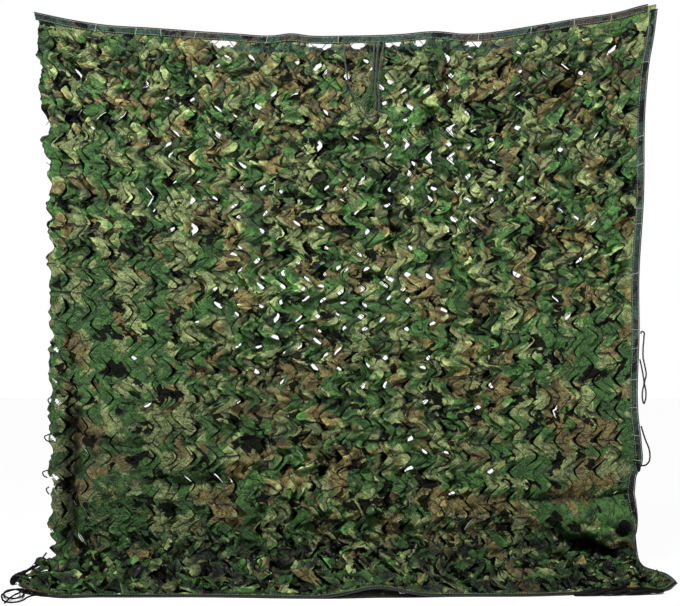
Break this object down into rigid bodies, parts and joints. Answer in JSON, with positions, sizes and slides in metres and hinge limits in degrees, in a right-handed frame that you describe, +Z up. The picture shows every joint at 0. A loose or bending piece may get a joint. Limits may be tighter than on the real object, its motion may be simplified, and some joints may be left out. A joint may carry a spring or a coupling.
{
  "type": "camouflage netting",
  "caption": "Woodland camouflage net: slit leaf cloth on a string net, bound and corded at the top, right and foot, hung by its top corners with its foot swept forward on the floor.",
  "frame": {"origin": "middle of the top edge, where the net is held up", "axes": "+Z up, +X to the right seen from the front, the front faces -Y"},
  "size_m": [2.0379, 0.5767, 1.809],
  "materials": {
    "leaf_cloth": "matt printed woven cloth, woodland blotches of two greens, brown and near-black",
    "binding": "matt plain green folded strip",
    "edge_cord": "matt black-green twisted cord",
    "slack_cord": "matt dark grey-green twisted cord",
    "net_cord": "matt black string"
  },
  "bodies": {
    "root": {"leaf_cloth": "leaf_cloth", "top_binding": "binding", "right_binding": "binding", "foot_binding": "binding", "top_cord": "edge_cord", "right_cord": "edge_cord", "foot_cord": "edge_cord", "front_loop": "slack_cord", "front_swag": "slack_cord", "upper_side_loop": "slack_cord", "lower_side_loop": "slack_cord", "spare_end": "slack_cord", "corner_border": "net_cord"}
  },
  "joints": []
}
